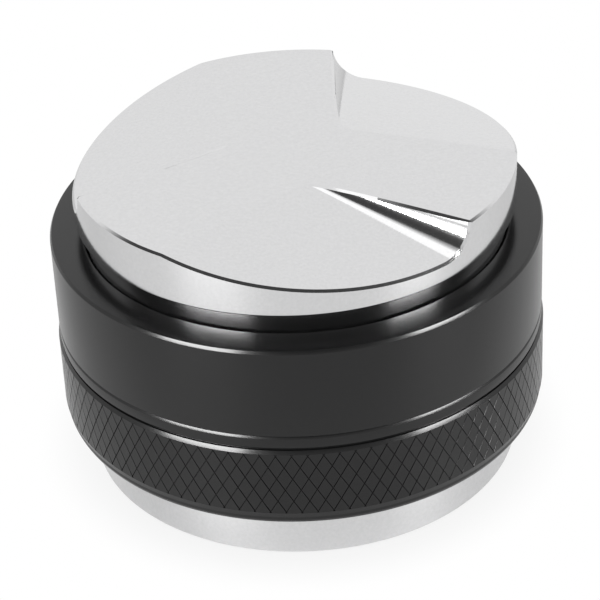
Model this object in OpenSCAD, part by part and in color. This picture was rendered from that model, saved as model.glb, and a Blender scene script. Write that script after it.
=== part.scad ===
// Dual-head coffee distributor and tamper.
// Millimetres, +Z up. The origin is the centre of the flat tamping face, which stands on the bench.

/* [Heads] */
// Diameter of both working heads
head_d = 53; // [45:0.5:60]
// Thickness of the distributor head from its seat to the blade crests
head_t = 6.05; // [5:0.05:9]
// Thickness of the tamper base
base_t = 5.75; // [4:0.05:10]
// Edge chamfer of both heads
head_edge = 0.25; // [0.1:0.05:0.8]
// Diameter of the boss behind each head
boss_d = 22; // [20:0.5:26]
// Height of the boss behind each head
boss_h = 4; // [3:0.1:6]
// Height of the skirt behind each head, which shows as the neck above the depth collar
skirt_h = 6.3; // [4.5:0.1:7]
// Wall of that skirt
skirt_t = 3; // [2:0.1:4]
// Inset of the skirt and the core from the head diameter
core_inset = 1; // [0.5:0.1:2]

/* [Blades] */
// Number of blades on the distributor head
blade_count = 3; // [2:1:4]
// Fall of each ramp
ramp_angle = 10.63; // [6:0.1:13]
// Distance from the axis to the line where a ramp starts to fall
ramp_start = 7; // [5:0.1:10]
// Direction in which the first ramp falls
ramp_dir = 309.5; // [0:0.5:360]
// Angle on the ramp between its fall line and the hollow that ends it
hollow_turn = 11.13; // [5:0.1:20]
// Distance of the hollow's lower edge from the fall line
hollow_at = 5.45; // [3:0.05:8]
// Distance by which the hollow's tip lies behind the axis
hollow_back = 2.62; // [0:0.1:6]
// Half angle by which the hollow widens from its tip
hollow_taper = 7.98; // [5:0.1:12]

/* [Collars] */
// Width by which the stop face stands out past the head
stop_w = 3.15; // [2:0.05:5]
// Height of the smooth depth collar
collar_h = 11.64; // [8:0.02:16]
// Height of the knurled lock collar
lock_h = 12.15; // [8:0.01:16]
// Free height between the tamper base and the lock collar
base_gap = 1.3; // [0.5:0.1:4]
// Free height between the depth collar and the distributor head
neck_show = 2.56; // [1:0.01:5]
// Outer chamfer of the stop face
stop_edge = 0.4; // [0.2:0.05:1]
// Small upper edge chamfer on the collars
collar_edge = 0.3; // [0.1:0.05:0.5]
// Small lower edge chamfer on the collars
low_edge = 0.15; // [0.05:0.05:0.5]

/* [Knurl] */
// Height of the plain rim above the knurl
top_rim_h = 1.5; // [0.6:0.05:2.2]
// Height of the plain rim below the knurl
low_rim_h = 0.75; // [0.4:0.05:2.2]
// Width of the groove below the upper rim
groove_w = 0.35; // [0.2:0.05:0.8]
// Depth of that groove below the rim
groove_deep = 0.28; // [0.1:0.02:0.8]
// Height of the slope from that groove to the knurl
knurl_lead = 0.48; // [0.3:0.02:1.2]
// Height of the slope from the knurl to the lower rim
knurl_tail = 0.75; // [0.3:0.05:1.2]
// Height by which the knurl crests stand out past the rims
knurl_proud = 0.2; // [0.05:0.05:0.5]
// Number of diamonds round the knurl
knurl_count = 102; // [60:2:140]
// Angle of the knurl lines to the axis
knurl_angle = 30; // [20:1:45]
// Depth of the knurl
knurl_deep = 0.25; // [0.1:0.01:0.4]

/* [Core and fastenings] */
// Diameter of the centre stud
stud_d = 8; // [6:1:10]
// Length of stud thread in each head
stud_grip = 6.2; // [5:0.1:6.5]
// Width across flats of the key socket in the stud
stud_key = 4; // [3:0.5:5]
// Depth of the key socket
stud_key_deep = 4; // [2:0.5:5]
// Number of dowels behind each head
dowel_count = 2; // [2:1:4]
// Diameter of a dowel
dowel_d = 2.5; // [2:0.1:3]
// Length of a dowel
dowel_l = 7; // [5:0.5:7.5]
// Distance of the dowels from the axis
dowel_at = 7.5; // [6.5:0.1:8.5]

/* [Seals] */
// Section of the ring in each collar bore
wiper_d = 1.6; // [1:0.1:2]
// Distance of that ring from the collar's outer end
wiper_in = 1.8; // [1.5:0.1:3]
// Squeezed height of the seal behind each head
seal_h = 1.2; // [0.8:0.1:2]
// Width of that seal
seal_w = 2; // [1.5:0.1:3]
// Land of the core outside that seal
seal_land = 1.4; // [1:0.1:3]

/* [Clearances] */
// Radial clearance of a turning fit
run_gap = 0.05; // [0.02:0.01:0.1]
// Radial clearance of a located fit
seat_gap = 0.03; // [0.01:0.01:0.05]
// Free space past the end of a blind hole or in a groove
end_gap = 0.1; // [0.05:0.05:0.3]
// Depth left past the stud in its blind hole
drill_gap = 0.6; // [0.3:0.1:1]

/* [Hidden] */
$fn = 128;
head_r = head_d / 2;
core_r = head_r - core_inset;
collar_r = head_r + stop_w;
knurl_r = collar_r + knurl_proud;
bore_r = core_r + run_gap;
skirt_bore_r = core_r - skirt_t;
spigot_r = skirt_bore_r - seat_gap;
seal_r = spigot_r - seal_land - seal_w / 2;
boss_r = boss_d / 2;
lock_z = base_t + base_gap;
seam_z = lock_z + lock_h;
stop_z = seam_z + collar_h;
seat_z = stop_z + neck_show;
crest_z = seat_z + head_t;
head_boss_z = seat_z - boss_h;
base_boss_z = base_t + boss_h;
head_skirt_z = seat_z - skirt_h;
base_skirt_z = base_t + skirt_h;
stud_low_z = base_boss_z - stud_grip;
stud_top_z = head_boss_z + stud_grip;
ramp_z = crest_z + ramp_start * tan(ramp_angle);
cut = 2 * head_d;
over = 1;
knurl_low = lock_z + low_rim_h + knurl_tail;
knurl_top = seam_z - top_rim_h - groove_w - knurl_lead;
knurl_root_r = knurl_r - knurl_deep;
knurl_bed_r = knurl_root_r - knurl_deep / 2;
knurl_inner_r = knurl_root_r - 2 * knurl_deep;
knurl_lap = knurl_deep / 4;
knurl_span = knurl_top - knurl_low + 2 * knurl_lap;
knurl_cols = 2 * knurl_count;
knurl_rows = round(knurl_span * knurl_cols * tan(knurl_angle) / (2 * PI * knurl_r));
wiper_r = wiper_d / 2;
wiper_line = bore_r + wiper_r;
wiper_floor = wiper_line + wiper_r + run_gap;
wiper_slot = wiper_d + 2 * end_gap;
collar_wiper_z = stop_z - wiper_in;
lock_wiper_z = lock_z + wiper_in;
steel = [0.78, 0.78, 0.79];
black = [0.11, 0.11, 0.12];
silicone = [0.25, 0.25, 0.26];
stud_steel = [0.55, 0.56, 0.58];

// Turned disc of radius r from z0 to z1 with its two outer edges chamfered
module turned_disc(r, z0, z1, edge) {
    rotate_extrude()
        polygon([[0, z0], [r - edge, z0], [r, z0 + edge], [r, z1 - edge], [r - edge, z1], [0, z1]]);
}

// Cylinder between two heights
module post(r, z0, z1) {
    translate([0, 0, z0])
        cylinder(r = r, h = z1 - z0);
}

// Children repeated round the axis
module around(count) {
    for (i = [0 : count - 1])
        rotate([0, 0, i * 360 / count])
            children();
}

// Dowels of radius r between two heights
module dowel_ring(r, z0, z1) {
    around(dowel_count)
        translate([dowel_at, 0, 0])
            post(r, z0, z1);
}

// Flat ring with round sides, lying on height z
module squeezed_ring(z, width, height) {
    translate([0, 0, z])
        rotate_extrude() {
            translate([seal_r - (width - height) / 2, height / 2])
                circle(d = height);
            translate([seal_r + (width - height) / 2, height / 2])
                circle(d = height);
            translate([seal_r - (width - height) / 2, 0])
                square([width - height, height]);
        }
}

// Face groove that takes the squeezed ring
module face_groove(z0, z1) {
    difference() {
        post(seal_r + seal_w / 2 + end_gap, z0, z1);
        post(seal_r - seal_w / 2 - end_gap, z0 - over, z1 + over);
    }
}

// Ring wall behind a head that passes through the collar
module skirt(z0, z1) {
    difference() {
        post(core_r, z0, z1);
        post(skirt_bore_r, z0 - over, z1 + over);
    }
}

// Volume milled away in front of one blade: a falling plane that ends in a hollow, widening outwards
module blade_pocket() {
    translate([0, 0, ramp_z])
        rotate([0, 0, ramp_dir])
            rotate([0, ramp_angle, 0])
                rotate([0, 0, hollow_turn])
                    translate([-hollow_back, -hollow_at, 0]) {
                        translate([-cut, -cut, 0])
                            cube([2 * cut, cut, cut]);
                        rotate([0, -hollow_taper, 0]) {
                            rotate([0, 90, 0])
                                cylinder(r1 = 0, r2 = cut * tan(hollow_taper), h = cut);
                            linear_extrude(cut)
                                polygon([[0, 0], [cut, 0], [cut, cut * tan(hollow_taper)]]);
                        }
                    }
}

// Steel distributor head with its blades, boss, stud thread and dowel holes
module distributor_head() {
    color(steel)
        difference() {
            union() {
                turned_disc(head_r, seat_z, crest_z, head_edge);
                post(boss_r, head_boss_z, seat_z);
                skirt(head_skirt_z, seat_z);
            }
            around(blade_count)
                blade_pocket();
            post(stud_d / 2 + seat_gap, head_boss_z - over, stud_top_z + drill_gap);
            dowel_ring(dowel_d / 2 + seat_gap, head_boss_z - over, head_boss_z + dowel_l / 2 + end_gap);
        }
}

// Steel tamper base with its boss, stud thread and dowel holes
module tamper_base() {
    color(steel)
        difference() {
            union() {
                turned_disc(head_r, 0, base_t, head_edge);
                post(boss_r, base_t, base_boss_z);
                skirt(base_t, base_skirt_z);
            }
            post(stud_d / 2 + seat_gap, stud_low_z - drill_gap, base_boss_z + over);
            dowel_ring(dowel_d / 2 + seat_gap, base_boss_z - dowel_l / 2 - end_gap, base_boss_z + over);
        }
}

// Black core that carries the adjusting thread and holds both heads
module core() {
    color(black)
        difference() {
            union() {
                post(core_r, base_skirt_z + end_gap, head_skirt_z - end_gap);
                post(spigot_r, base_t, seat_z);
            }
            post(stud_d / 2 + end_gap, base_t - over, seat_z + over);
            post(boss_r + seat_gap, base_t - over, base_boss_z + end_gap);
            post(boss_r + seat_gap, head_boss_z - end_gap, seat_z + over);
            dowel_ring(dowel_d / 2 + seat_gap, base_boss_z - over, base_boss_z + dowel_l / 2 + end_gap);
            dowel_ring(dowel_d / 2 + seat_gap, head_boss_z - dowel_l / 2 - end_gap, head_boss_z + over);
            face_groove(base_t - over, base_t + seal_h);
            face_groove(seat_z - seal_h, seat_z + over);
        }
}

// Stud that pulls both heads against the core
module centre_stud() {
    color(stud_steel)
        difference() {
            turned_disc(stud_d / 2, stud_low_z, stud_top_z, head_edge);
            translate([0, 0, stud_top_z - stud_key_deep])
                cylinder(d = stud_key / cos(30), h = stud_key_deep + over, $fn = 6);
        }
}

// Dowels that stop the distributor head turning on the core
module head_dowels() {
    color(stud_steel)
        dowel_ring(dowel_d / 2, head_boss_z - dowel_l / 2, head_boss_z + dowel_l / 2);
}

// Dowels that stop the tamper base turning on the core
module base_dowels() {
    color(stud_steel)
        dowel_ring(dowel_d / 2, base_boss_z - dowel_l / 2, base_boss_z + dowel_l / 2);
}

// Seal between the core and the distributor head
module head_seal() {
    color(silicone)
        squeezed_ring(seat_z - seal_h, seal_w, seal_h);
}

// Seal between the core and the tamper base
module base_seal() {
    color(silicone)
        squeezed_ring(base_t, seal_w, seal_h);
}

// Round ring on the core at height z
module wiper_ring(z) {
    translate([0, 0, z])
        rotate_extrude()
            translate([wiper_line, 0])
                circle(r = wiper_r);
}

// Smooth collar whose stop face rests on the rim of the basket
module depth_collar() {
    color(black)
        rotate_extrude()
            polygon([[bore_r, seam_z + low_edge], [bore_r + low_edge, seam_z],
                     [collar_r - low_edge, seam_z], [collar_r, seam_z + low_edge],
                     [collar_r, stop_z - stop_edge], [collar_r - stop_edge, stop_z],
                     [bore_r + collar_edge, stop_z], [bore_r, stop_z - collar_edge],
                     [bore_r, collar_wiper_z + wiper_slot / 2], [wiper_floor, collar_wiper_z + wiper_slot / 2],
                     [wiper_floor, collar_wiper_z - wiper_slot / 2], [bore_r, collar_wiper_z - wiper_slot / 2]]);
}

// Ring in the bore of the depth collar
module collar_wiper() {
    color(silicone)
        wiper_ring(collar_wiper_z);
}

// Point of the knurl at radius r, on column j and row k
function knurl_point(r, j, k) =
    [r * cos(j * 360 / knurl_cols), r * sin(j * 360 / knurl_cols),
     knurl_low - knurl_lap + k * knurl_span / knurl_rows];

// Crests and roots take turns along rows and columns, and the end rows run out at the root
function knurl_radius(j, k) =
    k > 0 && k < knurl_rows && (j + k) % 2 == 0 ? knurl_r : knurl_root_r;

// Two triangles between four corners, split along the line from a to c
function knurl_pair(a, b, c, d) = [[a, b, c], [a, c, d]];

// Ring of diamonds, each a low pyramid
module knurl_ring() {
    skin = [for (k = [0 : knurl_rows], j = [0 : knurl_cols - 1]) knurl_point(knurl_radius(j, k), j, k)];
    lining = [for (k = [0, knurl_rows], j = [0 : knurl_cols - 1]) knurl_point(knurl_inner_r, j, k)];
    function out(j, k) = k * knurl_cols + j % knurl_cols;
    function low(j) = len(skin) + j % knurl_cols;
    function top(j) = low(j) + knurl_cols;
    faces = [
        for (k = [0 : knurl_rows - 1], j = [0 : knurl_cols - 1])
            each (j + k) % 2 == 0
                ? knurl_pair(out(j, k + 1), out(j + 1, k + 1), out(j + 1, k), out(j, k))
                : knurl_pair(out(j, k), out(j, k + 1), out(j + 1, k + 1), out(j + 1, k)),
        for (j = [0 : knurl_cols - 1])
            each knurl_pair(low(j), out(j, 0), out(j + 1, 0), low(j + 1)),
        for (j = [0 : knurl_cols - 1])
            each knurl_pair(top(j), top(j + 1), out(j + 1, knurl_rows), out(j, knurl_rows)),
        for (j = [0 : knurl_cols - 1])
            each knurl_pair(low(j), low(j + 1), top(j + 1), top(j))];
    polyhedron(concat(skin, lining), faces);
}

// Knurled collar that locks the depth collar
module lock_collar() {
    top_groove = seam_z - top_rim_h;
    groove_r = collar_r - groove_deep;
    color(black)
        union() {
            rotate_extrude()
                polygon([[bore_r + low_edge, lock_z], [collar_r - low_edge, lock_z],
                         [collar_r, lock_z + low_edge], [collar_r, lock_z + low_rim_h], [knurl_r, knurl_low],
                         [knurl_bed_r, knurl_low], [knurl_bed_r, knurl_top], [knurl_r, knurl_top],
                         [groove_r, top_groove - groove_w], [groove_r, top_groove], [collar_r, top_groove],
                         [collar_r, seam_z - collar_edge], [collar_r - collar_edge, seam_z],
                         [bore_r + collar_edge, seam_z], [bore_r, seam_z - collar_edge],
                         [bore_r, lock_wiper_z + wiper_slot / 2], [wiper_floor, lock_wiper_z + wiper_slot / 2],
                         [wiper_floor, lock_wiper_z - wiper_slot / 2], [bore_r, lock_wiper_z - wiper_slot / 2],
                         [bore_r, lock_z + low_edge]]);
            knurl_ring();
        }
}

// Ring in the bore of the lock collar
module lock_wiper() {
    color(silicone)
        wiper_ring(lock_wiper_z);
}

distributor_head();
tamper_base();
core();
centre_stud();
head_dowels();
base_dowels();
head_seal();
base_seal();
depth_collar();
collar_wiper();
lock_collar();
lock_wiper();
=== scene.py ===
import math

import bmesh
import bpy
from mathutils import Matrix, Vector


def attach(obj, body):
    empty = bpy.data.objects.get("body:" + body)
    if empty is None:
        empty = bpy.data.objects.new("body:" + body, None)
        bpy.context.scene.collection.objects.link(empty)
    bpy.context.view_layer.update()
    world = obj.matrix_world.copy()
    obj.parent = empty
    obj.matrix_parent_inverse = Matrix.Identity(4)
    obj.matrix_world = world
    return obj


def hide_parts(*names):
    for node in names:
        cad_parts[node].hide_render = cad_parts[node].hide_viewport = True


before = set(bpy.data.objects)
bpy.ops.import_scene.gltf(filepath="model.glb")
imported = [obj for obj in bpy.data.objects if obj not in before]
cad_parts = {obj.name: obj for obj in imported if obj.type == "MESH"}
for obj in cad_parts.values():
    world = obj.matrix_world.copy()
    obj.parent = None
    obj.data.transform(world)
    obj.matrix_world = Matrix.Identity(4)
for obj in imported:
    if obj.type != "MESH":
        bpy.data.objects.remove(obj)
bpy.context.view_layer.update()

MM = 0.001

# Driving sizes in millimetres, the same as the solids
HEAD_R = 26.5
HEAD_T = 6.05
BASE_T = 5.75
HEAD_EDGE = 0.25
BOSS_R = 11.0
BOSS_H = 4.0
SKIRT_H = 6.3
SKIRT_T = 3.0
CORE_INSET = 1.0
STOP_W = 3.15
COLLAR_H = 11.64
LOCK_H = 12.15
BASE_GAP = 1.3
NECK_SHOW = 2.56
STOP_EDGE = 0.4
COLLAR_EDGE = 0.3
LOW_EDGE = 0.15
STUD_R = 4.0
STUD_GRIP = 6.2
WIPER_D = 1.6
WIPER_IN = 1.8
RUN_GAP = 0.05
SEAT_GAP = 0.03
END_GAP = 0.1
DRILL_GAP = 0.6

# Radii and heights that follow from them
CORE_R = HEAD_R - CORE_INSET
BORE_R = CORE_R + RUN_GAP
SKIRT_BORE_R = CORE_R - SKIRT_T
COLLAR_R = HEAD_R + STOP_W
LOCK_Z = BASE_T + BASE_GAP
SEAM_Z = LOCK_Z + LOCK_H
STOP_Z = SEAM_Z + COLLAR_H
SEAT_Z = STOP_Z + NECK_SHOW
CREST_Z = SEAT_Z + HEAD_T
STUD_HOLE_R = STUD_R + SEAT_GAP
STUD_HOLE_END = STUD_GRIP + DRILL_GAP
SLOT_FLOOR_R = BORE_R + WIPER_D + RUN_GAP
SLOT_HALF = WIPER_D / 2 + END_GAP

# Ramps and hollows of the distributor head, in millimetres and degrees, the same as the solids
BLADE_COUNT = 3
RAMP_ANGLE = 10.63
RAMP_START = 7.0
RAMP_DIR = 309.5
HOLLOW_TURN = 11.13
HOLLOW_AT = 5.45
HOLLOW_BACK = 2.62
HOLLOW_TAPER = 7.98

# Rims, groove and knurl of the lock collar, in millimetres and degrees, the same as the solids
TOP_RIM = 1.5
LOW_RIM = 0.75
GROOVE_W = 0.35
GROOVE_DEEP = 0.28
KNURL_PROUD = 0.2
KNURL_LEAD = 0.48
KNURL_TAIL = 0.75
KNURL_COUNT = 102
KNURL_ANGLE = 30.0
KNURL_R = COLLAR_R + KNURL_PROUD
KNURL_LOW = LOCK_Z + LOW_RIM + KNURL_TAIL
KNURL_TOP = SEAM_Z - TOP_RIM - GROOVE_W - KNURL_LEAD

# Chamfer of the blades: its width, the angle below which an edge has none, and its start above the seat
BLADE_CHAMFER = 0.26
SHALLOW_EDGE = 6.0
CHAMFER_FROM = 1.0

# Flat-topped diamonds: depth of the lines between them, share of a diamond that is flat, share of the pitch
# that it fills, and its whole depth as a multiple of the lines' depth, so that it stands in the wall
KNURL_CUT = 0.12
KNURL_LAND = 0.94
KNURL_FILL = 0.99
KNURL_ROOTED = 1.2
SPARE_ROWS = 2

# Width of a collar's upper outer edge over its height, and height of the lock collar's foot over its width
STEEP_SHARE = 0.52
FOOT_RISE = 2.5

# Radii in millimetres of the edges: heads first, then collars
HEAD_ROUND = 0.08
BASE_FOOT_ROUND = 0.12
BASE_TOP_ROUND = 0.1
BOSS_ROUND = 0.3
SKIRT_ROUND = 0.1
HOLE_ROUND = 0.1
LOW_ROUND = 0.04
UPPER_ROUND = 0.05
STOP_ROUND = 0.12
LIP_ROUND = 0.06
TOP_RIM_ROUND = 0.08
LOW_RIM_ROUND = 0.1
GROOVE_ROUND = 0.03

# Fineness of the meshes, and the angles in degrees past which an edge is shaded sharp
ROUND_STEPS = 252
ARC_STEPS = 5
HOLLOW_STEPS = 20
SHARP_EDGE = 35
SHARP_BLADE = 5
SHARP_KNURL = 15


# Nodes for materials

# Sockets of a Mix node that is set to colours
MIX_SHARE = 0
MIX_DARK = 6
MIX_LIGHT = 7
MIX_RESULT = 2

# Depth of the finest surface relief, in millimetres
RELIEF = 0.02


def new_material(name):
    material = bpy.data.materials.new(name)
    material.use_nodes = True
    tree = material.node_tree
    tree.nodes.clear()
    return material, tree


def add(tree, kind, **values):
    node = tree.nodes.new(kind)
    for key, value in values.items():
        setattr(node, key, value)
    return node


def put(node, **values):
    for key, value in values.items():
        node.inputs[key.replace("_", " ")].default_value = value


def ranged(tree, source, low, high):
    node = add(tree, "ShaderNodeMapRange")
    put(node, To_Min=low, To_Max=high)
    tree.links.new(source, node.inputs["Value"])
    return node.outputs["Result"]


def on_piece(tree, kind, **values):
    """Texture that keeps to the piece as it moves."""
    where = add(tree, "ShaderNodeTexCoord")
    texture = add(tree, kind)
    put(texture, **values)
    tree.links.new(where.outputs["Object"], texture.inputs["Vector"])
    return texture


def tinted(tree, grain, dark, light):
    """Colour that varies with the grain between two tones."""
    tint = add(tree, "ShaderNodeMix", data_type="RGBA")
    tint.inputs[MIX_DARK].default_value = (*dark, 1)
    tint.inputs[MIX_LIGHT].default_value = (*light, 1)
    tree.links.new(grain, tint.inputs[MIX_SHARE])
    return tint.outputs[MIX_RESULT]


def raised(tree, height, strength):
    """Normal of a relief too fine to be modelled."""
    bump = add(tree, "ShaderNodeBump")
    put(bump, Strength=strength, Distance=RELIEF * MM)
    tree.links.new(height, bump.inputs["Height"])
    return bump.outputs["Normal"]


def surface(tree, shader):
    out = add(tree, "ShaderNodeOutputMaterial")
    tree.links.new(shader.outputs[0], out.inputs["Surface"])


def turned_steel():
    """Stainless steel turned and then polished, with faint lathe lines round the axis."""
    material, tree = new_material("polished_steel")
    link = tree.links.new
    lines = on_piece(tree, "ShaderNodeTexWave", Scale=900.0, Distortion=1.5, Detail=3.0)
    lines.wave_type = "RINGS"
    lines.rings_direction = "Z"
    grain = on_piece(tree, "ShaderNodeTexNoise", Scale=2600.0, Detail=4.0).outputs["Fac"]
    tangent = add(tree, "ShaderNodeTangent", direction_type="RADIAL", axis="Z")
    shader = add(tree, "ShaderNodeBsdfPrincipled")
    put(shader, Metallic=1.0, Anisotropic=0.3)
    link(tinted(tree, grain, (0.64, 0.64, 0.645), (0.74, 0.74, 0.745)), shader.inputs["Base Color"])
    link(ranged(tree, grain, 0.08, 0.14), shader.inputs["Roughness"])
    link(raised(tree, lines.outputs["Color"], 0.03), shader.inputs["Normal"])
    link(tangent.outputs["Tangent"], shader.inputs["Tangent"])
    surface(tree, shader)
    return material


def dark_finish(name, dark, light, smooth, rough, scale, relief):
    """Dark surface with a fine even grain, such as anodising or silicone."""
    material, tree = new_material(name)
    link = tree.links.new
    grain = on_piece(tree, "ShaderNodeTexNoise", Scale=scale, Detail=5.0, Roughness=0.6).outputs["Fac"]
    shader = add(tree, "ShaderNodeBsdfPrincipled")
    put(shader, IOR=1.42)
    link(tinted(tree, grain, dark, light), shader.inputs["Base Color"])
    link(ranged(tree, grain, smooth, rough), shader.inputs["Roughness"])
    link(raised(tree, grain, relief), shader.inputs["Normal"])
    surface(tree, shader)
    return material


def black_anodising():
    return dark_finish("black_anodised", dark=(0.002, 0.002, 0.00206), light=(0.004, 0.004, 0.00412),
                       smooth=0.18, rough=0.24, scale=3200.0, relief=0.05)


def black_silicone():
    return dark_finish("silicone", dark=(0.03, 0.03, 0.0309), light=(0.045, 0.045, 0.04635),
                       smooth=0.55, rough=0.7, scale=1500.0, relief=0.1)


def machined_steel():
    """Plain grey steel of the stud and dowels."""
    material, tree = new_material("fastener_steel")
    link = tree.links.new
    grain = on_piece(tree, "ShaderNodeTexNoise", Scale=1800.0, Detail=4.0).outputs["Fac"]
    shader = add(tree, "ShaderNodeBsdfPrincipled")
    put(shader, Metallic=1.0)
    link(tinted(tree, grain, (0.42, 0.43, 0.45), (0.56, 0.57, 0.59)), shader.inputs["Base Color"])
    link(ranged(tree, grain, 0.3, 0.42), shader.inputs["Roughness"])
    surface(tree, shader)
    return material


STEEL = turned_steel()
BLACK = black_anodising()
SILICONE = black_silicone()
FASTENER = machined_steel()


# Shapes

def rounded(corners):
    """Closed profile of (radius, height, rounding) corners with each rounding drawn as an arc."""
    points = []
    count = len(corners)
    for i, (r, z, size) in enumerate(corners):
        here = Vector((r, z))
        if size <= 0:
            points.append((r, z))
            continue
        before = (Vector(corners[i - 1][:2]) - here).normalized()
        after = (Vector(corners[(i + 1) % count][:2]) - here).normalized()
        half = math.acos(max(-1.0, min(1.0, before.dot(after)))) / 2
        reach = size / math.tan(half)
        middle = here + (before + after).normalized() * (size / math.sin(half))
        start, stop = here + before * reach - middle, here + after * reach - middle
        turn = math.atan2(start.x * stop.y - start.y * stop.x, start.dot(stop))
        for k in range(ARC_STEPS + 1):
            angle = turn * k / ARC_STEPS
            c, s = math.cos(angle), math.sin(angle)
            points.append((middle.x + c * start.x - s * start.y, middle.y + s * start.x + c * start.y))
    return points


def turned(name, profile, material):
    """Closed profile in millimetres, turned about the axis; a flat end on the axis is one face."""
    bm = bmesh.new()
    angles = [2 * math.pi * i / ROUND_STEPS for i in range(ROUND_STEPS)]
    rings = []
    for r, z in profile:
        spots = [(r * MM * math.cos(a), r * MM * math.sin(a), z * MM) for a in angles if r > 0]
        rings.append([bm.verts.new(spot) for spot in spots])
    for ring, following in zip(rings, rings[1:] + rings[:1]):
        if ring and following:
            for i in range(ROUND_STEPS):
                j = (i + 1) % ROUND_STEPS
                bm.faces.new([ring[i], ring[j], following[j], following[i]])
        elif ring or following:
            bm.faces.new(ring or following)
    bmesh.ops.recalc_face_normals(bm, faces=bm.faces)
    return as_piece(name, bm, material)


def as_piece(name, bm, material):
    mesh = bpy.data.meshes.new(name)
    bm.to_mesh(mesh)
    bm.free()
    mesh.shade_smooth()
    mesh.set_sharp_from_angle(angle=math.radians(SHARP_EDGE))
    mesh.materials.append(material)
    piece = bpy.data.objects.new(name, mesh)
    bpy.context.collection.objects.link(piece)
    return piece


def settle(piece):
    """Turns a piece's modifiers into its plain mesh."""
    bpy.context.view_layer.update()
    graph = bpy.context.evaluated_depsgraph_get()
    mesh = bpy.data.meshes.new_from_object(piece.evaluated_get(graph))
    piece.modifiers.clear()
    piece.data = mesh
    return piece


def blade_cutter(index):
    """Volume milled away in front of one blade: a falling plane that ends in a hollow, widening outwards.

    The hollow is a quarter of a cone. The volume runs from near its tip to well past the head.
    """
    painted_shadow, far, tall = 0.3, 70.0, 25.0
    taper = math.radians(HOLLOW_TAPER)
    along = Vector((math.cos(taper), 0, math.sin(taper)))
    upward = Vector((-math.sin(taper), 0, math.cos(taper)))
    across = Vector((0, 1, 0))
    angles = [math.pi / 2 * i / HOLLOW_STEPS for i in range(HOLLOW_STEPS + 1)]
    hollow = [along * math.cos(taper) + (across * math.sin(a) - upward * math.cos(a)) * math.sin(taper)
              for a in angles]
    bm = bmesh.new()
    ends = []
    for reach in (painted_shadow, far):
        arc = [point * reach for point in hollow]
        corners = [arc[-1] + upward * tall, arc[0] + Vector((0, -far, tall)), arc[0] + Vector((0, -far, 0))]
        ends.append([bm.verts.new(point * MM) for point in arc + corners])
    bm.faces.new(ends[0])
    bm.faces.new(list(reversed(ends[1])))
    for i in range(len(ends[0])):
        j = (i + 1) % len(ends[0])
        bm.faces.new([ends[0][j], ends[0][i], ends[1][i], ends[1][j]])
    bmesh.ops.recalc_face_normals(bm, faces=bm.faces)
    high = CREST_Z + RAMP_START * math.tan(math.radians(RAMP_ANGLE))
    place = (Matrix.Rotation(math.radians(360 / BLADE_COUNT * index), 4, "Z")
             @ Matrix.Translation((0, 0, high * MM))
             @ Matrix.Rotation(math.radians(RAMP_DIR), 4, "Z")
             @ Matrix.Rotation(math.radians(RAMP_ANGLE), 4, "Y")
             @ Matrix.Rotation(math.radians(HOLLOW_TURN), 4, "Z")
             @ Matrix.Translation((-HOLLOW_BACK * MM, -HOLLOW_AT * MM, 0)))
    bmesh.ops.transform(bm, matrix=place, verts=bm.verts)
    return as_piece("blade_cutter", bm, STEEL)


def distributor_head():
    return chamfer_blades(milled_head())


def milled_head():
    """Turned head with its three blades milled out, edges still sharp."""
    boss_z = SEAT_Z - BOSS_H
    hole_z = boss_z + STUD_HOLE_END
    skirt_z = SEAT_Z - SKIRT_H
    blank = turned("distributor_head_steel", rounded([
        (0, hole_z, 0), (STUD_HOLE_R, hole_z, 0),
        (STUD_HOLE_R, boss_z, HOLE_ROUND), (BOSS_R, boss_z, BOSS_ROUND),
        (BOSS_R, SEAT_Z, 0), (SKIRT_BORE_R, SEAT_Z, 0),
        (SKIRT_BORE_R, skirt_z, SKIRT_ROUND), (CORE_R, skirt_z, SKIRT_ROUND), (CORE_R, SEAT_Z, 0),
        (HEAD_R - HEAD_EDGE, SEAT_Z, HEAD_ROUND), (HEAD_R, SEAT_Z + HEAD_EDGE, HEAD_ROUND),
        (HEAD_R, CREST_Z, 0), (0, CREST_Z, 0)]), STEEL)
    cutters = [blade_cutter(i) for i in range(BLADE_COUNT)]
    for cutter in cutters:
        cut = blank.modifiers.new("blade", "BOOLEAN")
        cut.operation = "DIFFERENCE"
        cut.solver = "EXACT"
        cut.object = cutter
    settle(blank)
    for cutter in cutters:
        bpy.data.objects.remove(cutter)
    return blank


def chamfer_blades(piece):
    """Small chamfer on the crests and the upper rim, fading out where an edge becomes shallow."""
    bm = bmesh.new()
    bm.from_mesh(piece.data)
    weight = bm.edges.layers.float.new("bevel_weight_edge")
    for edge in bm.edges:
        turn = math.degrees(edge.calc_face_angle_signed(0))
        if turn > SHALLOW_EDGE and min(v.co.z for v in edge.verts) > (SEAT_Z + CHAMFER_FROM) * MM:
            edge[weight] = min(1.0, (turn - SHALLOW_EDGE) / SHALLOW_EDGE)
    bm.to_mesh(piece.data)
    bm.free()
    edges = piece.modifiers.new("chamfer", "BEVEL")
    edges.limit_method = "WEIGHT"
    edges.width = BLADE_CHAMFER * MM
    edges.segments = 1
    edges.use_clamp_overlap = False
    settle(piece)
    piece.data.set_sharp_from_angle(angle=math.radians(SHARP_BLADE))
    return piece


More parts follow.
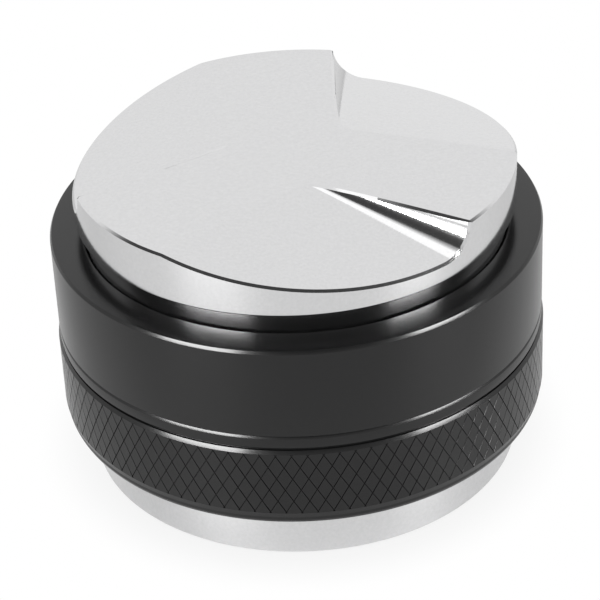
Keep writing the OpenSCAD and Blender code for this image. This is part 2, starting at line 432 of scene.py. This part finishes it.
def tamper_base():
    """Turned base with the flat tamping face, its skirt and its boss."""
    boss_z = BASE_T + BOSS_H
    hole_z = boss_z - STUD_HOLE_END
    skirt_z = BASE_T + SKIRT_H
    return turned("tamper_base_steel", rounded([
        (0, 0, 0), (HEAD_R - HEAD_EDGE, 0, BASE_FOOT_ROUND), (HEAD_R, HEAD_EDGE, BASE_FOOT_ROUND),
        (HEAD_R, BASE_T - HEAD_EDGE, BASE_TOP_ROUND), (HEAD_R - HEAD_EDGE, BASE_T, BASE_TOP_ROUND),
        (CORE_R, BASE_T, 0), (CORE_R, skirt_z, SKIRT_ROUND), (SKIRT_BORE_R, skirt_z, SKIRT_ROUND),
        (SKIRT_BORE_R, BASE_T, 0), (BOSS_R, BASE_T, 0),
        (BOSS_R, boss_z, BOSS_ROUND), (STUD_HOLE_R, boss_z, HOLE_ROUND),
        (STUD_HOLE_R, hole_z, 0), (0, hole_z, 0)]), STEEL)


def wiper_slot(middle):
    """Corners of the slot for a wiper ring in a collar's bore, from the top down."""
    high, low = middle + SLOT_HALF, middle - SLOT_HALF
    return [(BORE_R, high, 0), (SLOT_FLOOR_R, high, 0), (SLOT_FLOOR_R, low, 0), (BORE_R, low, 0)]


def depth_collar():
    """Smooth collar whose upper face is the stop."""
    return turned("depth_collar_black", rounded([
        (BORE_R, SEAM_Z + LOW_EDGE, LOW_ROUND), (BORE_R + LOW_EDGE, SEAM_Z, LOW_ROUND),
        (COLLAR_R - LOW_EDGE, SEAM_Z, LOW_ROUND), (COLLAR_R, SEAM_Z + LOW_EDGE, LOW_ROUND),
        (COLLAR_R, STOP_Z - STOP_EDGE, STOP_ROUND), (COLLAR_R - STOP_EDGE * STEEP_SHARE, STOP_Z, LIP_ROUND),
        (BORE_R + COLLAR_EDGE, STOP_Z, LIP_ROUND), (BORE_R, STOP_Z - COLLAR_EDGE, UPPER_ROUND),
        *wiper_slot(STOP_Z - WIPER_IN)]), BLACK)


def lock_collar_body():
    """Lock collar with its rims and groove, turned down to the root of the knurl between them."""
    root_r = KNURL_R - KNURL_CUT
    groove_r = COLLAR_R - GROOVE_DEEP
    rim_z = SEAM_Z - TOP_RIM
    groove_z = rim_z - GROOVE_W
    return turned("lock_collar_black", rounded([
        (BORE_R + LOW_EDGE, LOCK_Z, LOW_ROUND), (COLLAR_R - LOW_EDGE, LOCK_Z, LOW_ROUND),
        (COLLAR_R, LOCK_Z + FOOT_RISE * LOW_EDGE, LOW_RIM_ROUND), (COLLAR_R, LOCK_Z + LOW_RIM, LOW_RIM_ROUND),
        (KNURL_R, KNURL_LOW, 0), (root_r, KNURL_LOW, 0), (root_r, KNURL_TOP, 0), (KNURL_R, KNURL_TOP, 0),
        (KNURL_R - KNURL_LEAD * STEEP_SHARE, groove_z, UPPER_ROUND), (groove_r, groove_z, GROOVE_ROUND),
        (groove_r, rim_z, UPPER_ROUND), (COLLAR_R, rim_z, TOP_RIM_ROUND),
        (COLLAR_R, SEAM_Z - COLLAR_EDGE, TOP_RIM_ROUND),
        (COLLAR_R - COLLAR_EDGE * STEEP_SHARE, SEAM_Z, UPPER_ROUND),
        (BORE_R + COLLAR_EDGE, SEAM_Z, UPPER_ROUND), (BORE_R, SEAM_Z - COLLAR_EDGE, UPPER_ROUND),
        *wiper_slot(LOCK_Z + WIPER_IN), (BORE_R, LOCK_Z + LOW_EDGE, LOW_ROUND)]), BLACK)


def knurl_tree():
    """Diamonds of the knurl, repeated round the collar in staggered rows."""
    tree = bpy.data.node_groups.new("diamond_knurl", "GeometryNodeTree")
    face = tree.interface
    face.new_socket("Geometry", in_out="INPUT", socket_type="NodeSocketGeometry")
    for label in ("Diamonds Around", "Rows"):
        face.new_socket(label, in_out="INPUT", socket_type="NodeSocketInt")
    for label in ("Row Height", "Lowest Row", "Crest Radius", "Depth", "Half Width", "Half Height", "Land"):
        face.new_socket(label, in_out="INPUT", socket_type="NodeSocketFloat")
    face.new_socket("Finish", in_out="INPUT", socket_type="NodeSocketMaterial")
    face.new_socket("Geometry", in_out="OUTPUT", socket_type="NodeSocketGeometry")
    link = tree.links.new
    given = tree.nodes.new("NodeGroupInput").outputs
    out = tree.nodes.new("NodeGroupOutput")

    def math_node(operation, a, b=None):
        node = tree.nodes.new("ShaderNodeMath")
        node.operation = operation
        for socket, value in zip(node.inputs, (a, b)):
            if value is None:
                continue
            if isinstance(value, (int, float)):
                socket.default_value = value
            else:
                link(value, socket)
        return node.outputs[0]

    # A point for each diamond, with every second row half a diamond further round
    total = math_node("MULTIPLY", given["Diamonds Around"], given["Rows"])
    points = tree.nodes.new("GeometryNodePoints")
    link(total, points.inputs["Count"])
    index = tree.nodes.new("GeometryNodeInputIndex").outputs[0]
    row = math_node("FLOOR", math_node("DIVIDE", index, given["Diamonds Around"]))
    column = math_node("ADD", math_node("MODULO", index, given["Diamonds Around"]),
                       math_node("MULTIPLY", math_node("MODULO", row, 2), 0.5))
    angle = math_node("MULTIPLY", math_node("DIVIDE", column, given["Diamonds Around"]), 2 * math.pi)
    foot_r = math_node("SUBTRACT", given["Crest Radius"], given["Depth"])
    height = math_node("ADD", math_node("MULTIPLY", row, given["Row Height"]), given["Lowest Row"])
    spot = tree.nodes.new("ShaderNodeCombineXYZ")
    link(math_node("MULTIPLY", math_node("COSINE", angle), foot_r), spot.inputs["X"])
    link(math_node("MULTIPLY", math_node("SINE", angle), foot_r), spot.inputs["Y"])
    link(height, spot.inputs["Z"])
    link(spot.outputs[0], points.inputs["Position"])

    # One diamond: a cone of four sides, stretched and laid down to point outwards
    diamond = tree.nodes.new("GeometryNodeMeshCone")
    diamond.inputs["Vertices"].default_value = 4
    diamond.inputs["Radius Bottom"].default_value = 1.0
    link(given["Land"], diamond.inputs["Radius Top"])
    link(given["Depth"], diamond.inputs["Depth"])
    shape = tree.nodes.new("GeometryNodeTransform")
    size = tree.nodes.new("ShaderNodeCombineXYZ")
    link(given["Half Height"], size.inputs["X"])
    link(given["Half Width"], size.inputs["Y"])
    size.inputs["Z"].default_value = 1.0
    link(diamond.outputs["Mesh"], shape.inputs["Geometry"])
    link(size.outputs[0], shape.inputs["Scale"])
    laid = tree.nodes.new("GeometryNodeTransform")
    laid.inputs["Rotation"].default_value = (0, math.pi / 2, 0)
    link(shape.outputs[0], laid.inputs["Geometry"])

    # A diamond on each point, turned to face away from the axis
    turn = tree.nodes.new("ShaderNodeCombineXYZ")
    link(angle, turn.inputs["Z"])
    facing = tree.nodes.new("FunctionNodeEulerToRotation")
    link(turn.outputs[0], facing.inputs[0])
    copies = tree.nodes.new("GeometryNodeInstanceOnPoints")
    link(points.outputs[0], copies.inputs["Points"])
    link(laid.outputs[0], copies.inputs["Instance"])
    link(facing.outputs[0], copies.inputs["Rotation"])
    real = tree.nodes.new("GeometryNodeRealizeInstances")
    link(copies.outputs[0], real.inputs[0])
    finish = tree.nodes.new("GeometryNodeSetMaterial")
    link(real.outputs[0], finish.inputs["Geometry"])
    link(given["Finish"], finish.inputs["Material"])
    link(finish.outputs[0], out.inputs[0])
    return tree


def lock_collar_knurl():
    """The knurl's diamonds, trimmed at both ends of the band."""
    pitch = 2 * math.pi * KNURL_R / KNURL_COUNT
    row = pitch / 2 / math.tan(math.radians(KNURL_ANGLE))
    rows = math.ceil((KNURL_TOP - KNURL_LOW) / row) + SPARE_ROWS
    first = (KNURL_LOW + KNURL_TOP) / 2 - (rows - 1) / 2 * row
    piece = bpy.data.objects.new("lock_collar_knurl", bpy.data.meshes.new("lock_collar_knurl"))
    bpy.context.collection.objects.link(piece)
    tree = knurl_tree()
    repeat = piece.modifiers.new("knurl", "NODES")
    repeat.node_group = tree
    values = {"Diamonds Around": KNURL_COUNT,
              "Rows": rows,
              "Row Height": row * MM,
              "Lowest Row": first * MM,
              "Crest Radius": KNURL_R * math.cos(math.pi / KNURL_COUNT) * MM,
              "Depth": KNURL_ROOTED * KNURL_CUT * MM,
              "Half Width": pitch / 2 * KNURL_FILL * MM,
              "Half Height": row * KNURL_FILL * MM,
              "Land": KNURL_LAND,
              "Finish": BLACK}
    for item in tree.interface.items_tree:
        if item.in_out == "INPUT" and item.name in values:
            repeat[item.identifier] = values[item.name]
    settle(piece)
    bm = bmesh.new()
    bm.from_mesh(piece.data)
    for height, away in ((KNURL_LOW, -1), (KNURL_TOP, 1)):
        whole = bm.verts[:] + bm.edges[:] + bm.faces[:]
        cut = bmesh.ops.bisect_plane(bm, geom=whole, plane_co=(0, 0, height * MM), plane_no=(0, 0, away),
                                     clear_outer=True)
        bmesh.ops.holes_fill(bm, edges=[e for e in cut["geom_cut"] if isinstance(e, bmesh.types.BMEdge)])
    bmesh.ops.recalc_face_normals(bm, faces=bm.faces)
    bm.to_mesh(piece.data)
    bm.free()
    piece.data.set_sharp_from_angle(angle=math.radians(SHARP_KNURL))
    return piece


# Pieces on their bodies

head = distributor_head()
base = tamper_base()
collar = depth_collar()
lock = lock_collar_body()
knurl = lock_collar_knurl()

for piece, body, node, slot in (
        (head, "core_body", "distributor_head", "polished_steel"),
        (base, "core_body", "tamper_base", "polished_steel"),
        (collar, "depth_collar", "depth_collar", "black_anodised"),
        (lock, "lock_collar", "lock_collar", "black_anodised")):
    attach(piece, body)
    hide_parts(node)
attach(knurl, "lock_collar")

hidden_finishes = (
    (BLACK, ("core",)),
    (SILICONE, ("head_seal", "base_seal", "collar_wiper", "lock_wiper")),
    (FASTENER, ("centre_stud", "head_dowels", "base_dowels")))
for material, nodes in hidden_finishes:
    for node in nodes:
        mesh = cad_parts[node].data
        mesh.materials.clear()
        mesh.materials.append(material)


# Floor, light and camera

WHITE = (1, 1, 1, 1)

# Floor: half its width in metres, its place in millimetres below the tool, its grey under the lights, the
# tone and reach in metres of its painted shadow, and how white metal mirrors it
FLOOR_HALF = 3.0
FLOOR_DROP = 0.02
FLOOR_GREY = (0.62, 0.62, 0.62, 1)
PAINTED_SHADOW_TONE = 0.84
PAINTED_SHADOW_REACH = 0.008
FLOOR_MIRRORED = 0.45

# World: how much height counts towards being behind the tool, where that starts and is full, and the
# brightness low down and high up, with the heights between which it falls
BEHIND_LEAN = 0.6
BEHIND_FROM = 0.42
BEHIND_FULL = 0.64
LOW_GLOW = 0.8
HIGH_GLOW = 0.06
FALL_FROM = 0.25
FALL_TO = 0.5

# Distance in metres of every lamp from the tool's foot
LAMP_AWAY = 0.8

# Camera fitted to the photograph: metres, millimetres of lens and degrees of roll
CAMERA_SPOT = Vector((0.0, -0.2517, 0.18224))
CAMERA_AIM = Vector((0.0, 0.0, 0.01843))
CAMERA_LENS = 146.2
CAMERA_SENSOR = 36.0
CAMERA_CLIP = 0.01
CAMERA_ROLL = -2.81


def ray_kinds(tree):
    """1 for rays from the camera, and 1 for rays that metal or glass sends on."""
    path = add(tree, "ShaderNodeLightPath")
    mirrored = add(tree, "ShaderNodeMath", operation="MAXIMUM")
    tree.links.new(path.outputs["Is Glossy Ray"], mirrored.inputs[0])
    tree.links.new(path.outputs["Is Transmission Ray"], mirrored.inputs[1])
    return path.outputs["Is Camera Ray"], mirrored.outputs[0]


def multiply_add(tree, a, b, plus):
    """Value of a times b plus a third; b is a socket or a number."""
    node = add(tree, "ShaderNodeMath", operation="MULTIPLY_ADD")
    tree.links.new(a, node.inputs[0])
    if isinstance(b, float):
        node.inputs[1].default_value = b
    else:
        tree.links.new(b, node.inputs[1])
    tree.links.new(plus, node.inputs[2])
    return node.outputs[0]


def mixed(tree, share, first, second):
    """Shader that goes from the first to the second as the share goes from 0 to 1."""
    mix = add(tree, "ShaderNodeMixShader")
    tree.links.new(share, mix.inputs[0])
    tree.links.new(first.outputs[0], mix.inputs[1])
    tree.links.new(second.outputs[0], mix.inputs[2])
    return mix


def pale_floor():
    """White floor with a painted soft shadow, its glow dimmed near the tool; metal shows that white over the
    lit floor.
    """
    material, tree = new_material("pale_floor")
    # Painted shadow: ambient occlusion dims the floor's white glow near the tool; no lamp casts it
    painted_shadow = add(tree, "ShaderNodeAmbientOcclusion", samples=16)
    put(painted_shadow, Distance=PAINTED_SHADOW_REACH)
    seen = add(tree, "ShaderNodeEmission")
    put(seen, Color=WHITE)
    tree.links.new(ranged(tree, painted_shadow.outputs["AO"], PAINTED_SHADOW_TONE, 1.0), seen.inputs["Strength"])
    lit = add(tree, "ShaderNodeBsdfPrincipled")
    put(lit, Base_Color=FLOOR_GREY, Roughness=0.45)
    in_view, mirrored = ray_kinds(tree)
    surface(tree, mixed(tree, multiply_add(tree, mirrored, FLOOR_MIRRORED, in_view), lit, seen))
    bm = bmesh.new()
    bmesh.ops.create_grid(bm, x_segments=1, y_segments=1, size=FLOOR_HALF)
    bmesh.ops.translate(bm, vec=(0, 0, -FLOOR_DROP * MM), verts=bm.verts)
    floor = as_piece("floor", bm, material)


def studio_world():
    """White in view all round, and in what metal mirrors from behind the tool.

    In front, metal mirrors a glow low down and the dark studio higher up, where the camera stands.
    """
    world = bpy.data.worlds.new("studio")
    bpy.context.scene.world = world
    world.use_nodes = True
    tree = world.node_tree
    tree.nodes.clear()
    link = tree.links.new
    where = add(tree, "ShaderNodeTexCoord")
    split = add(tree, "ShaderNodeSeparateXYZ")
    link(where.outputs["Generated"], split.inputs[0])
    behind = add(tree, "ShaderNodeMapRange", interpolation_type="SMOOTHSTEP")
    put(behind, From_Min=BEHIND_FROM, From_Max=BEHIND_FULL)
    link(multiply_add(tree, split.outputs["Z"], BEHIND_LEAN, split.outputs["Y"]), behind.inputs["Value"])
    plain = add(tree, "ShaderNodeBackground")
    put(plain, Color=WHITE, Strength=1.0)
    glow = add(tree, "ShaderNodeMapRange", interpolation_type="SMOOTHSTEP")
    put(glow, From_Min=FALL_FROM, From_Max=FALL_TO, To_Min=LOW_GLOW, To_Max=HIGH_GLOW)
    link(split.outputs["Z"], glow.inputs["Value"])
    studio = add(tree, "ShaderNodeBackground")
    put(studio, Color=WHITE)
    link(glow.outputs["Result"], studio.inputs["Strength"])
    in_view, mirrored = ray_kinds(tree)
    white = multiply_add(tree, mirrored, behind.outputs["Result"], in_view)
    out = add(tree, "ShaderNodeOutputWorld")
    link(mixed(tree, white, studio, plain).outputs[0], out.inputs["Surface"])


def soft_light(name, azimuth, elevation, width, height, radiance):
    """Rectangular soft light that faces the tool; azimuth 0 is behind the camera, positive to the right."""
    lamp = bpy.data.lights.new(name, "AREA")
    lamp.shape = "RECTANGLE"
    lamp.size = width
    lamp.size_y = height
    lamp.energy = radiance * math.pi * width * height
    light = bpy.data.objects.new(name, lamp)
    a, e = math.radians(azimuth), math.radians(elevation)
    spot = Vector((math.sin(a) * math.cos(e), -math.cos(a) * math.cos(e), math.sin(e))) * LAMP_AWAY
    light.location = spot
    light.rotation_euler = (-spot).to_track_quat("-Z", "Y").to_euler()
    bpy.context.collection.objects.link(light)


def photo_camera():
    """Camera that stands where the photograph was taken from."""
    lens = bpy.data.cameras.new("camera")
    lens.sensor_width = CAMERA_SENSOR
    lens.lens = CAMERA_LENS
    lens.clip_start = CAMERA_CLIP
    camera = bpy.data.objects.new("camera", lens)
    look = (CAMERA_AIM - CAMERA_SPOT).to_track_quat("-Z", "Y").to_matrix().to_4x4()
    roll = Matrix.Rotation(math.radians(CAMERA_ROLL), 4, "Z")
    camera.matrix_world = Matrix.Translation(CAMERA_SPOT) @ look @ roll
    bpy.context.collection.objects.link(camera)
    bpy.context.scene.camera = camera


pale_floor()
studio_world()
soft_light("left_soft_light", azimuth=-45, elevation=22, width=0.46, height=0.2, radiance=30.0)
soft_light("right_soft_light", azimuth=62, elevation=22, width=0.36, height=0.2, radiance=30.0)
soft_light("overhead_soft_light", azimuth=0, elevation=90, width=0.6, height=0.6, radiance=0.45)
photo_camera()
bpy.context.scene.view_settings.view_transform = "Standard"
